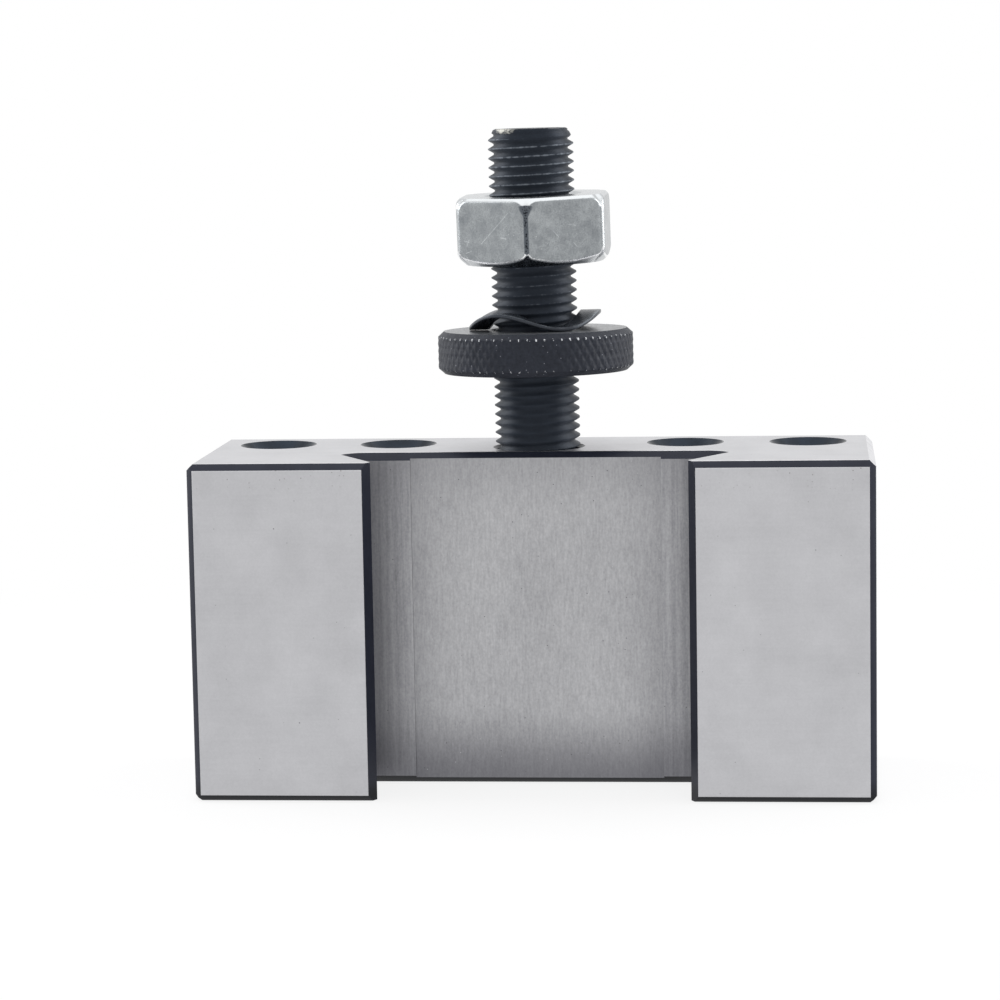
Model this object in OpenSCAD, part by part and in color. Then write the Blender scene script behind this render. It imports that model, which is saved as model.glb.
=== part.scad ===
// Dovetail tool holder for a lathe tool post: a ground steel block with a
// dovetail channel in front, a tool slot behind, four clamp screws on top and
// a stud that carries the knurled height wheel, a wave washer and a lock nut.
// Origin: middle of the block's bottom face. +X runs along the tool, +Y from
// the dovetail side to the tool slot, +Z up.

/* [Block] */
// Length of the block, along the tool
body_l = 110; // [100:1:130]
// Depth of the block, from the pads to the back
body_d = 38; // [36:0.5:46]
// Height of the block
body_h = 55; // [52:0.5:64]
// Chamfer along the block's outer edges
edge_c = 1.1; // [0.6:0.1:1.6]

/* [Dovetail channel] */
// Narrowest width of the channel, behind the chamfered lips
throat_w = 50.8; // [44:0.1:54]
// Depth of the channel, from the pads to its back face
channel_d = 14.6; // [12:0.1:16]
// Angle between a flank and the pads
flank_angle = 60; // [55:1:65]
// Lip chamfer, measured along the pad
lip_w = 1.2; // [0.6:0.1:2]
// Lip chamfer, measured into the channel
lip_d = 2; // [1:0.1:3]
// Radius in the two inner corners of the channel
channel_r = 2.8; // [1.5:0.1:3.5]
// Chamfer on the top and bottom edges of the channel's back face
channel_c = 1.25; // [0.6:0.05:1.6]
// Width of the shallow relief in the middle of the back face
relief_w = 41; // [30:1:44]
// Depth of that relief
relief_d = 0.3; // [0.1:0.1:0.6]

/* [Tool slot] */
// Depth of the tool slot, from the back of the block
slot_d = 15.7; // [13:0.1:16.5]
// Height of the tool slot
slot_h = 22; // [18:0.5:24]
// Thickness of the block below the tool slot
slot_floor_t = 13; // [11:0.5:15]
// Radius in the two inner corners of the slot
slot_r = 1; // [0.5:0.1:2]
// Chamfer on the two long edges of the slot's mouth
slot_c = 0.8; // [0.4:0.1:1.5]

/* [Clamp screws] */
// Thread diameter of the clamp screws
screw_d = 10; // [8:0.5:11]
// Length of a clamp screw
screw_l = 16; // [14:1:22]
// How far the top of a screw lies below the block's top
screw_sink = 3; // [1:0.5:5]
// Gap between a screw's side and the inner wall of the tool slot
screw_wall_gap = 0.9; // [0.5:0.1:1.5]
// Distance from the block's end to the outer screw
screw_from_end = 10.7; // [9:0.1:13]
// Distance between the two screws at one end
screw_gap = 20.3; // [16:0.1:21]
// Chamfer at both ends of a screw
screw_c = 1; // [0.5:0.1:1.5]
// Width across the flats of the hexagon socket
socket_af = 5; // [4:0.5:6]
// Depth of the hexagon socket
socket_depth = 5; // [3:0.5:6]
// How much wider than the screw its hole's mouth is, on each side
screw_flare = 1.35; // [0.5:0.05:2]

/* [Height stud] */
// Thread diameter of the stud
stud_d = 14; // [12:0.5:15]
// Thread pitch of the stud
stud_pitch = 1.5; // [1:0.25:2]
// Flat steel between the mouth of the stud's hole and the channel's chamfer
stud_land = 0.25; // [0.2:0.05:1]
// Thread that stands above the lock nut
stud_over = 11; // [6:0.5:14]
// Steel left between the stud's hole and the tool slot
stud_floor_t = 3; // [2:0.5:5]
// Chamfer at both ends of the stud
stud_c = 1; // [0.5:0.1:1.5]
// How much wider than the stud its hole's mouth is, on each side
stud_flare = 0.6; // [0.3:0.05:1]

/* [Height wheel] */
// Diameter over the knurl
wheel_d = 32.2; // [28:0.1:36]
// Thickness of the wheel
wheel_t = 6.5; // [5:0.1:8]
// Height of the wheel above the block
wheel_gap = 12.6; // [12.3:0.1:16]
// Chamfer around the wheel's top and bottom, across the radius
wheel_c = 1; // [0.6:0.1:1.4]
// Height of that chamfer
wheel_ch = 0.9; // [0.5:0.1:1.2]
// Number of knurl diamonds around the wheel
knurl_n = 72; // [56:2:84]
// Rows of knurl diamonds up the wheel
knurl_rows = 2; // [1:1:3]
// Depth of the knurl
knurl_depth = 0.35; // [0.2:0.05:0.5]

/* [Wave washer] */
// Width of the washer's strip
washer_w = 3.4; // [2:0.1:4]
// Gap between the washer and the stud
washer_play = 0.5; // [0.2:0.1:1]
// Thickness of its spring strip
washer_t = 0.6; // [0.4:0.1:1]
// Rise from its low points to its crests
washer_wave = 2.4; // [1:0.1:3]
// Number of waves around the washer
waves = 3; // [2:1:4]

/* [Lock nut] */
// Width across the flats of the nut
nut_af = 24; // [21:0.5:27]
// Height of the nut
nut_t = 11; // [8:0.5:13]
// Height of the nut above the wheel
nut_gap = 11.2; // [10.7:0.1:14]
// Rounding of the nut's upright edges
nut_r = 0.8; // [0.5:0.1:2.5]
// Slope of the chamfer around the nut's corners
nut_slope = 42; // [20:1:50]
// Turn of the nut about the stud
nut_turn = -2; // [-30:1:30]
// How much wider than the stud the mouth of the nut's bore is, on each side
nut_flare = 0.6; // [0.3:0.05:1]

/* [Fits] */
// Radial clearance between a thread and the hole it runs in
thread_play = 0.05; // [0.02:0.01:0.1]
// Gap between pieces that rest on each other
seat_play = 0.25; // [0.1:0.05:0.4]

/* [Hidden] */

// How far a cutter runs past the face that it opens
over = 2;
round_fn = 96;

front_y = -body_d / 2;
back_y = body_d / 2;
channel_y = front_y + channel_d;

// Middle of the fillet circle on the +X side of the channel
flank_run = tan(90 - flank_angle);
fillet_y = channel_y - channel_r;
fillet_x = throat_w / 2 + (fillet_y - front_y - lip_d) * flank_run - channel_r / sin(flank_angle);

slot_wall_y = back_y - slot_d;
slot_roof_z = slot_floor_t + slot_h;

stud_y = channel_y + channel_c + stud_land + stud_flare + stud_d / 2;
stud_hole_z = slot_roof_z + stud_floor_t;
stud_foot_z = stud_hole_z + seat_play;
wheel_z = body_h + wheel_gap;
washer_z = wheel_z + wheel_t + seat_play;
nut_z = wheel_z + wheel_t + nut_gap;
stud_top_z = nut_z + nut_t + stud_over;
stud_bore_r = stud_d / 2 + thread_play;

screw_y = slot_wall_y + screw_wall_gap + screw_d / 2;
screw_out_x = body_l / 2 - screw_from_end;
screw_in_x = screw_out_x - screw_gap;
screw_xs = [-screw_out_x, -screw_in_x, screw_in_x, screw_out_x];
screw_foot_z = body_h - screw_sink - screw_l;

// Basic V thread: depth of the groove, and the flats left at crest and root
groove_h = 0.6134 * stud_pitch;
crest_w = stud_pitch / 8;
root_w = stud_pitch / 4;

knurl_h = wheel_t - 2 * wheel_ch;

function mirrored(pts) = [for (i = [len(pts) - 1 : -1 : 0]) [-pts[i][0], pts[i][1]]];
function polar(r, a) = [r * cos(a), r * sin(a)];
function arc(centre, r, from, to, step) = [for (a = [from : step : to]) centre + polar(r, a)];
function ring_pt(r, a, z) = [r * cos(a), r * sin(a), z];

// Rectangle w by h, centred, with its corners cut at 45 degrees
module cut_rect(w, h, c) {
    x = w / 2;
    y = h / 2;
    polygon([[c - x, -y], [x - c, -y], [x, c - y], [x, y - c],
             [x - c, y], [c - x, y], [-x, y - c], [-x, c - y]]);
}

// Block with the same chamfer along all twelve edges
module chamfered_block() {
    intersection() {
        linear_extrude(body_h) cut_rect(body_l, body_d, edge_c);
        translate([0, 0, body_h / 2]) rotate([90, 0, 0])
            linear_extrude(body_d, center = true) cut_rect(body_l, body_h, edge_c);
        translate([0, 0, body_h / 2]) rotate([90, 0, 90])
            linear_extrude(body_l, center = true) cut_rect(body_d, body_h, edge_c);
    }
}

// Outline of the channel from above: lip chamfers, flanks, corner fillets and
// the shallow relief in the back face
module channel_outline() {
    half = concat(
        [[throat_w / 2 + lip_w, front_y - over], [throat_w / 2 + lip_w, front_y],
         [throat_w / 2, front_y + lip_d]],
        arc([fillet_x, fillet_y], channel_r, flank_angle - 90, 90, (180 - flank_angle) / 12),
        [[relief_w / 2, channel_y], [relief_w / 2, channel_y + relief_d]]);
    polygon(concat(half, mirrored(half)));
}

// Space between the two flank planes, which also bounds the edge chamfer
module flank_wedge() {
    deep = channel_d + channel_r + over;
    near = throat_w / 2 - lip_d * flank_run;
    far = near + deep * flank_run;
    polygon([[near, front_y], [far, front_y + deep], [-far, front_y + deep], [-near, front_y]]);
}

// Chamfer along the channel's back edge and round its corners, widening upward
module channel_edge() {
    intersection() {
        hull() for (s = [-1, 1]) translate([s * fillet_x, fillet_y, 0])
            cylinder(h = channel_c + over, r1 = channel_r, r2 = channel_r + channel_c + over, $fn = 36);
        linear_extrude(channel_c + over) flank_wedge();
    }
}

// Tool slot from the end: open at the back, with a chamfered mouth
module slot_outline() {
    lip = slot_c + over;
    polygon(concat(
        [[back_y + over, slot_floor_t - lip], [back_y - slot_c, slot_floor_t]],
        arc([slot_wall_y + slot_r, slot_floor_t + slot_r], slot_r, 270, 180, -15),
        arc([slot_wall_y + slot_r, slot_roof_z - slot_r], slot_r, 180, 90, -15),
        [[back_y - slot_c, slot_roof_z], [back_y + over, slot_roof_z + lip]]));
}

// 90 degree countersink at the top, z = 0, of a bore of radius r
module countersink(r, flare) {
    translate([0, 0, -flare]) cylinder(h = flare + over, r1 = r, r2 = r + flare + over, $fn = round_fn);
}

// Hole for a thread of width d, down from the block's top to foot_z
module top_hole(d, foot_z, flare) {
    r = d / 2 + thread_play;
    translate([0, 0, foot_z]) cylinder(h = body_h + over - foot_z, r = r, $fn = round_fn);
    translate([0, 0, body_h]) countersink(r, flare);
}

// Bore through a piece of height h that runs on the stud's thread
module stud_bore(h) {
    translate([0, 0, -over]) cylinder(h = h + 2 * over, r = stud_bore_r, $fn = round_fn);
}

module holder_body() {
    color("#b4b5ba") difference() {
        chamfered_block();
        translate([0, 0, -over]) linear_extrude(body_h + 2 * over) channel_outline();
        translate([0, 0, body_h - channel_c]) channel_edge();
        translate([0, 0, channel_c]) mirror([0, 0, 1]) channel_edge();
        rotate([90, 0, 90]) linear_extrude(body_l + 2 * over, center = true) slot_outline();
        for (x = screw_xs) translate([x, screw_y, 0])
            top_hole(screw_d, slot_roof_z - over, screw_flare);
        translate([0, stud_y, 0]) top_hole(stud_d, stud_hole_z, stud_flare);
    }
}

// Stud with its V thread as a row of grooves, and a chamfer at each end
module height_stud() {
    length = stud_top_z - stud_foot_z;
    r = stud_d / 2;
    turns = floor((length - 2 * stud_c) / stud_pitch);
    first = (length - turns * stud_pitch) / 2;
    side_h = (stud_pitch - crest_w - root_w) / 2;
    grooves = [for (i = [0 : turns - 1]) let (z = first + i * stud_pitch)
        each [[r, z + crest_w / 2], [r - groove_h, z + crest_w / 2 + side_h],
              [r - groove_h, z + crest_w / 2 + side_h + root_w], [r, z + stud_pitch - crest_w / 2]]];
    color("#2d3039") translate([0, stud_y, stud_foot_z]) rotate_extrude($fn = round_fn)
        polygon(concat([[0, 0], [r - stud_c, 0]], grooves, [[r - stud_c, length], [0, length]]));
}

// Height wheel: pyramids between two crossing sets of grooves. Each ring has
// two points per diamond, in turn on a groove crossing and on a tip.
module knurled_disc() {
    cols = 2 * knurl_n;
    rows = 2 * knurl_rows;
    tip_r = wheel_d / 2;
    face_r = tip_r - wheel_c;
    pts = concat(
        [for (i = [0 : cols - 1]) ring_pt(face_r, i * 360 / cols, 0)],
        [for (j = [0 : rows], i = [0 : cols - 1])
            let (r = (i + j) % 2 == 0 ? tip_r - knurl_depth : tip_r)
            ring_pt(r, i * 360 / cols, wheel_ch + j * knurl_h / rows)],
        [for (i = [0 : cols - 1]) ring_pt(face_r, i * 360 / cols, wheel_t)]);
    last = rows + 2;
    faces = concat(
        [[for (i = [0 : cols - 1]) i]],
        [for (j = [0 : last - 1], i = [0 : cols - 1])
            let (a = j * cols + i, b = j * cols + (i + 1) % cols, c = a + cols, d = b + cols)
            each (i + j) % 2 == 1 ? [[a, c, d], [a, d, b]] : [[a, c, b], [b, c, d]]],
        [[for (i = [cols - 1 : -1 : 0]) last * cols + i]]);
    polyhedron(pts, faces);
}

module height_wheel() {
    color("#2d3039") translate([0, stud_y, wheel_z]) difference() {
        knurled_disc();
        stud_bore(wheel_t);
    }
}

// Spring washer: a flat strip in a ring, bent into even waves
module spring_washer() {
    n = 96;
    inner_r = stud_d / 2 + washer_play;
    outer_r = inner_r + washer_w;
    pts = [for (i = [0 : n - 1]) let (a = i * 360 / n, z = washer_wave * (1 + cos(waves * a)) / 2)
        each [ring_pt(inner_r, a, z), ring_pt(outer_r, a, z),
              ring_pt(outer_r, a, z + washer_t), ring_pt(inner_r, a, z + washer_t)]];
    faces = [for (i = [0 : n - 1], k = [0 : 3])
        let (a = 4 * i + k, b = 4 * i + (k + 1) % 4, c = (a + 4) % (4 * n), d = (b + 4) % (4 * n))
        each [[a, b, c], [b, d, c]]];
    color("#2d3039") translate([0, stud_y, washer_z]) polyhedron(pts, faces);
}

// Hexagon with rounded corners; at no turn, one corner points at -Y
module nut_outline() {
    reach = (nut_af / 2 - nut_r) / cos(30);
    polygon([for (corner = [30 : 60 : 330], a = [-30 : 10 : 30])
        polar(reach, corner) + polar(nut_r, corner + a)]);
}

module lock_nut() {
    r = nut_af / 2;
    wide = nut_af / 2 / cos(30);
    drop = (wide - r) * tan(nut_slope);
    color("#a9adb2") translate([0, stud_y, nut_z]) difference() {
        intersection() {
            linear_extrude(nut_t) rotate(nut_turn) nut_outline();
            rotate_extrude($fn = round_fn)
                polygon([[0, 0], [r, 0], [wide, drop], [wide, nut_t - drop], [r, nut_t], [0, nut_t]]);
        }
        stud_bore(nut_t);
        translate([0, 0, nut_t]) countersink(stud_bore_r, nut_flare);
        mirror([0, 0, 1]) countersink(stud_bore_r, nut_flare);
    }
}

// Socket set screw number k, counted along +X
module clamp_screw(k) {
    r = screw_d / 2;
    color("#34363c") translate([screw_xs[k - 1], screw_y, screw_foot_z]) difference() {
        rotate_extrude($fn = round_fn)
            polygon([[0, 0], [r - screw_c, 0], [r, screw_c],
                     [r, screw_l - screw_c], [r - screw_c, screw_l], [0, screw_l]]);
        translate([0, 0, screw_l - socket_depth])
            cylinder(h = socket_depth + over, r = socket_af / 2 / cos(30), $fn = 6);
    }
}

holder_body();
height_stud();
height_wheel();
spring_washer();
lock_nut();
clamp_screw(1);  // clamp_screw_1
clamp_screw(2);  // clamp_screw_2
clamp_screw(3);  // clamp_screw_3
clamp_screw(4);  // clamp_screw_4
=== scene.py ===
"""Dovetail tool holder for a lathe tool post, dressed and lit for a product picture."""

import logging
import math
from dataclasses import dataclass, field, replace
from enum import Enum
from typing import Any

import bmesh
import bpy
import numpy as np
from mathutils import Matrix, Vector


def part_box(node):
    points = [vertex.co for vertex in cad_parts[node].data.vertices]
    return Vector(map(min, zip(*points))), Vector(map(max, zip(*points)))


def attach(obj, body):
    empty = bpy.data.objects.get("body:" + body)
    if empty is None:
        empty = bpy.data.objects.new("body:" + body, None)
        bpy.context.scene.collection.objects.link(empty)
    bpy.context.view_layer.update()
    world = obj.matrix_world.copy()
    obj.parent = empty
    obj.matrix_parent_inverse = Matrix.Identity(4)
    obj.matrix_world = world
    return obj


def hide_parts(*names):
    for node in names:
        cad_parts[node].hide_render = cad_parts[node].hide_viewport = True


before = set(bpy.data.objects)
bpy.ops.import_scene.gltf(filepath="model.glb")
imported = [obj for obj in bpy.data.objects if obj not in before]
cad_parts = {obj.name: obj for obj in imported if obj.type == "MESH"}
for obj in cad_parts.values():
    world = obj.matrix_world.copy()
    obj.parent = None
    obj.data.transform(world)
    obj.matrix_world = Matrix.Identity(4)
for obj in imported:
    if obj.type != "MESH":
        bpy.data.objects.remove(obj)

LOG = logging.getLogger("tool_holder")

# The frame is in metres, and every size below is in millimetres
MM = 0.001
TURN = 2 * math.pi
# Numbers of the clamp screws and of their holes
SCREWS = (1, 2, 3, 4)
# Points of a skin that lie nearer than this are one point
WELD = 0.002
# Nearly all of Blender's noise lies between these
NOISE_LOW, NOISE_HIGH = 0.3, 0.7
# Sockets of a Mix node of colours: the share, the colour below, the one above and the result
SHARE_IN, BELOW_IN, ABOVE_IN, MIXED_OUT = 0, 6, 7, 2
WHITE_HEX = "#ffffff"

Array = np.ndarray
Tree = bpy.types.NodeTree
Socket = bpy.types.NodeSocket


class Face(Enum):
    """Kinds of surface on the block, in the order of its material slots."""

    GROUND = 0
    CHANNEL = 1
    LAND = 2
    OXIDE = 3
    SLOT = 4
    # Broken edges and end chamfers painted bright, as rubbed steel and painted highlight
    WORN_AND_HIGHLIT = 5
    HOLE = 6


class Mask(Enum):
    """Masks painted on the meshes, each by the name of its attribute."""

    CREST = "crest"
    BURR = "burr"
    TIP = "tip"
    TURNED = "turned"
    EDGE = "edge"
    RIM = "rim"
    FOOT = "foot"
    # Painted shade on the nut, down its front corner and under its front rim
    GRIME = "grime"


class Axis(Enum):
    """Directions in which a tone comes on."""

    ACROSS = "X"
    UP = "Z"


def linear(code: str) -> tuple[float, float, float, float]:
    """Turns an sRGB hex colour into the linear colour that a shader takes.

    Args:
        code: colour such as "#b4b4b8".

    Returns:
        Red, green, blue and an alpha of 1.
    """
    parts = [int(code[i : i + 2], 16) / 255 for i in (1, 3, 5)]
    flat = [c / 12.92 if c <= 0.04045 else ((c + 0.055) / 1.055) ** 2.4 for c in parts]
    return (flat[0], flat[1], flat[2], 1.0)


def ramp(value: Array | float, start: float, length: float) -> Array | float:
    """Rises evenly from 0 at start to 1 a length further on, and falls if the length is negative."""
    return np.clip((value - start) / length, 0, 1)


def add_node(
    tree: Tree, kind: str, inputs: dict[str | int, Any] | None = None, **settings: Any
) -> bpy.types.Node:
    """Adds one node to a tree.

    A Map Range node takes its value at input 0, and maps the span at 1 and 2 to the one at 3 and 4.

    Args:
        tree: node tree of a material or of the world.
        kind: Blender's name for the node type.
        inputs: for each input, by name or number, a value, another node's output to link, or
            another node whose first output is linked.
        settings: attributes to set, by name.

    Returns:
        The new node.
    """
    made = tree.nodes.new(kind)
    for key, value in settings.items():
        setattr(made, key, value)
    for key, value in (inputs or {}).items():
        if isinstance(value, bpy.types.Node):
            value = value.outputs[0]
        if isinstance(value, Socket):
            tree.links.new(value, made.inputs[key])
        else:
            made.inputs[key].default_value = value
    return made


@dataclass(frozen=True)
class Marks:
    """One layer of a surface's pattern: noise whose cells have a real size along X, Y and Z."""

    size_mm: tuple[float, float, float]
    # How far this layer swings the surface between its dark and light colours
    weight: float
    octaves: float = 2.0
    # How strongly the finer octaves show
    fineness: float = 0.6

    @classmethod
    def even(cls, size_mm: float, weight: float = 1.0, octaves: float = 2.0) -> "Marks":
        """Marks of one size in every direction."""
        return cls((size_mm, size_mm, size_mm), weight, octaves)

    def node(self, tree: Tree) -> Socket:
        """Adds the layer to a material.

        Args:
            tree: the material's node tree.

        Returns:
            The noise, 0.5 on average.
        """
        place = add_node(tree, "ShaderNodeTexCoord").outputs["Object"]
        cells = Vector([1 / (size * MM) for size in self.size_mm])
        spread = add_node(tree, "ShaderNodeVectorMath", {0: place, 1: cells}, operation="MULTIPLY")
        inputs = {"Vector": spread, "Scale": 1.0, "Detail": self.octaves, "Roughness": self.fineness}
        return add_node(tree, "ShaderNodeTexNoise", inputs).outputs["Fac"]


@dataclass(frozen=True)
class Cover:
    """Another colour that lies over part of a surface."""

    colour: str

    def share(self, tree: Tree) -> Socket:
        """Tells how far the colour covers each point, from 0 to 1."""
        raise NotImplementedError

    def over(self, tree: Tree, base: Socket) -> Socket:
        """Lays the colour over another one.

        Args:
            tree: the material's node tree.
            base: colour below.

        Returns:
            The mixed colour.
        """
        inputs = {SHARE_IN: self.share(tree), BELOW_IN: base, ABOVE_IN: linear(self.colour)}
        return add_node(tree, "ShaderNodeMix", inputs, data_type="RGBA").outputs[MIXED_OUT]


@dataclass(frozen=True)
class WearAndPaintedLight(Cover):
    """Colour over a mask painted on the mesh, broken up by noise: metal rubbed bare, and painted highlights
    and painted shade.
    """

    mask: Mask
    # The colour shows where the mask plus the noise passes from low to high
    low: float = 0.75
    high: float = 1.1
    breaks_mm: float = 0.5
    breaks: float = 1.0

    def share(self, tree: Tree) -> Socket:
        """Breaks up the mask; where it is 0, no noise brings the colour out.

        Args:
            tree: the material's node tree.

        Returns:
            How far the colour covers each point, from 0 to 1.
        """
        mask = add_node(tree, "ShaderNodeAttribute", attribute_name=self.mask.value).outputs["Fac"]
        noise = Marks.even(self.breaks_mm).node(tree)
        half = self.breaks / 2
        inputs = {0: noise, 1: NOISE_LOW, 2: NOISE_HIGH, 3: -half, 4: half}
        swing = add_node(tree, "ShaderNodeMapRange", inputs)
        gated = add_node(tree, "ShaderNodeMath", {0: swing, 1: mask, 2: mask}, operation="MULTIPLY_ADD")
        return add_node(tree, "ShaderNodeMapRange", {0: gated, 1: self.low, 2: self.high}).outputs[0]


@dataclass(frozen=True)
class PaintedShade(Cover):
    """Painted shade that comes on slowly along one axis, towards the channel's corners and the block's
    foot.
    """

    axis: Axis
    # Where it starts and where it is full; across the block it does so on both sides of the middle
    start_mm: float
    full_mm: float
    most: float

    def share(self, tree: Tree) -> Socket:
        """Fades the painted shade in between the two places.

        Args:
            tree: the material's node tree.

        Returns:
            How far the tone covers each point, from 0 to the most it may.
        """
        place = add_node(tree, "ShaderNodeTexCoord").outputs["Object"]
        along = add_node(tree, "ShaderNodeSeparateXYZ", {0: place}).outputs[self.axis.value]
        if self.axis is Axis.ACROSS:
            along = add_node(tree, "ShaderNodeMath", {0: along}, operation="ABSOLUTE").outputs[0]
        inputs = {0: along, 1: self.start_mm * MM, 2: self.full_mm * MM, 3: 0.0, 4: self.most}
        return add_node(tree, "ShaderNodeMapRange", inputs, interpolation_type="SMOOTHSTEP").outputs[0]


@dataclass(frozen=True)
class Specks(Cover):
    """Pinprick marks strewn over the surface."""

    spacing_mm: float
    size_mm: float
    # Share of the places that hold a speck
    density: float
    # Heights where the specks begin, and where they are thickest and stop
    band_mm: tuple[float, float] | None = None

    def share(self, tree: Tree) -> Socket:
        """Draws a dot at some of the points of a loose lattice.

        Args:
            tree: the material's node tree.

        Returns:
            How far the specks cover each point, from 0 to 1.
        """
        place = add_node(tree, "ShaderNodeTexCoord").outputs["Object"]
        scale = 1 / (self.spacing_mm * MM)
        cells = add_node(tree, "ShaderNodeTexVoronoi", {"Vector": place, "Scale": scale})
        rim = self.size_mm / self.spacing_mm / 2
        dot = add_node(
            tree, "ShaderNodeMapRange", {0: cells.outputs["Distance"], 1: rim, 2: rim / 2, 3: 0, 4: 1}
        )
        lot = add_node(tree, "ShaderNodeSeparateColor", {0: cells.outputs["Color"]})
        drawn = add_node(tree, "ShaderNodeMath", {0: lot, 1: self.density}, operation="LESS_THAN")
        speck = add_node(tree, "ShaderNodeMath", {0: dot, 1: drawn}, operation="MULTIPLY")
        if self.band_mm is None:
            return speck.outputs[0]
        low, high = (edge * MM for edge in self.band_mm)
        height = add_node(tree, "ShaderNodeSeparateXYZ", {0: place}).outputs["Z"]
        inputs = {0: height, 1: low, 2: high, 3: 0.0, 4: speck}
        thicker = add_node(tree, "ShaderNodeMapRange", inputs, interpolation_type="SMOOTHSTEP")
        under = add_node(tree, "ShaderNodeMath", {0: height, 1: high}, operation="LESS_THAN")
        return add_node(tree, "ShaderNodeMath", {0: thicker, 1: under}, operation="MULTIPLY").outputs[0]


@dataclass(frozen=True)
class Scratch(Cover):
    """One straight scratch between two places on the surface."""

    start: Vector
    end: Vector
    width_mm: float
    # Share of its width that is fully bright
    core: float = 1 / 3
    breaks_mm: float = 0.5

    def share(self, tree: Tree) -> Socket:
        """Measures how near each point is to the line between the ends.

        Args:
            tree: the material's node tree.

        Returns:
            How far the scratch covers each point, from 0 to 1.
        """
        run = self.end - self.start
        place = add_node(tree, "ShaderNodeTexCoord").outputs["Object"]
        off = add_node(tree, "ShaderNodeVectorMath", {0: place, 1: self.start}, operation="SUBTRACT")
        along = add_node(
            tree, "ShaderNodeVectorMath", {0: off, 1: run / run.length_squared}, operation="DOT_PRODUCT"
        ).outputs["Value"]
        within = add_node(tree, "ShaderNodeMapRange", {0: along})
        foot = add_node(tree, "ShaderNodeVectorMath", {0: run, "Scale": within}, operation="SCALE")
        gap = add_node(tree, "ShaderNodeVectorMath", {0: off, 1: foot}, operation="DISTANCE")
        half = self.width_mm * MM / 2
        inputs = {0: gap.outputs["Value"], 1: half, 2: half * self.core, 3: 0, 4: 1}
        line = add_node(tree, "ShaderNodeMapRange", inputs)
        noise = Marks.even(self.breaks_mm).node(tree)
        return add_node(tree, "ShaderNodeMath", {0: line, 1: noise}, operation="MULTIPLY").outputs[0]


@dataclass(frozen=True)
class Finish:
    """A metal surface: its two colours, its gloss and the marks that its making left."""

    name: str
    light: str
    dark: str
    roughness: float
    marks: tuple[Marks, ...]
    metallic: float = 1.0
    # Reflectance of what isn't bare metal; 0.5 is the usual 4 percent
    specular: float = 0.5
    # Height of the marks
    relief_mm: float = 0.004
    # How much rougher the dark places are than the light ones
    roughness_spread: float = 0.1
    covers: tuple[Cover, ...] = ()

    def pattern(self, tree: Tree) -> Socket:
        """Adds all layers of marks together.

        Args:
            tree: the material's node tree.

        Returns:
            One value, 0.5 on average, that is higher where the metal is lighter.
        """
        total: Socket | float = 0.5
        for layer in self.marks:
            centred = add_node(tree, "ShaderNodeMath", {0: layer.node(tree), 1: 0.5}, operation="SUBTRACT")
            inputs = {0: centred, 1: 2 * layer.weight, 2: total}
            total = add_node(tree, "ShaderNodeMath", inputs, operation="MULTIPLY_ADD").outputs[0]
        return total

    def material(self) -> bpy.types.Material:
        """Builds the node material.

        Returns:
            The material, ready to be put in a slot.
        """
        made = bpy.data.materials.new(self.name)
        made.use_nodes = True
        tree = made.node_tree
        shader = tree.nodes["Principled BSDF"]
        value = self.pattern(tree)
        inputs = {SHARE_IN: value, BELOW_IN: linear(self.dark), ABOVE_IN: linear(self.light)}
        metal = add_node(tree, "ShaderNodeMix", inputs, data_type="RGBA", clamp_factor=True)
        colour = metal.outputs[MIXED_OUT]
        for cover in self.covers:
            colour = cover.over(tree, colour)
        dull = self.roughness + self.roughness_spread / 2
        bright = self.roughness - self.roughness_spread / 2
        rough = add_node(tree, "ShaderNodeMapRange", {0: value, 3: dull, 4: bright})
        inputs = {"Height": value, "Distance": self.relief_mm * MM, "Strength": 1.0}
        relief = add_node(tree, "ShaderNodeBump", inputs)
        tree.links.new(colour, shader.inputs["Base Color"])
        tree.links.new(rough.outputs[0], shader.inputs["Roughness"])
        tree.links.new(relief.outputs[0], shader.inputs["Normal"])
        shader.inputs["Metallic"].default_value = self.metallic
        shader.inputs["Specular IOR Level"].default_value = self.specular
        return made


# Real grain, grinding lines and pinpricks are some hundredths of a millimetre wide, too fine for the
# picture, so this grain and all marks below under half a millimetre are drawn coarse enough to show
FINE_GRAIN = Marks.even(0.3, 0.3)
# Surface-ground hardened steel: a pale satin grey, faintly blotched, with a few dark pinpricks
GROUND_STEEL = Finish(
    name="surface_ground_steel", light="#d2d2d5", dark="#a7a7aa", roughness=0.38,
    marks=(Marks.even(9, 0.3, 5), Marks((9, 0.4, 0.4), 0.07), Marks.even(0.35, 0.14)),
    relief_mm=0.0015, roughness_spread=0.06,
    covers=(
        Specks("#77777b", 3.2, 0.28, 0.3),
        Specks("#8b8a8c", 1.3, 0.2, 0.2),
        Specks("#7d7a78", 0.7, 0.24, 0.4, (48.5, 54.5)),
    ),
)
# Channel ground from top to bottom: streaked upright, with painted shade towards its corners, its top and
# its foot
CHANNEL_STEEL = Finish(
    name="ground_channel_steel", light="#c4c4c6", dark="#939396", roughness=0.42,
    marks=(Marks((10, 12, 24), 0.22, 3), Marks((0.35, 0.35, 2.2), 0.34), Marks((0.3, 0.3, 0.45), 0.34)),
    relief_mm=0.002,
    covers=(
        PaintedShade("#5c5c62", Axis.ACROSS, 12, 27, 0.46),
        PaintedShade("#77777b", Axis.UP, 44, 55, 0.3),
        PaintedShade("#55555c", Axis.UP, 14, 1, 0.68),
        Specks("#b8b8bb", 1.1, 0.2, 0.3),
        Specks("#5c5c60", 1.3, 0.22, 0.35),
    ),
)
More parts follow.
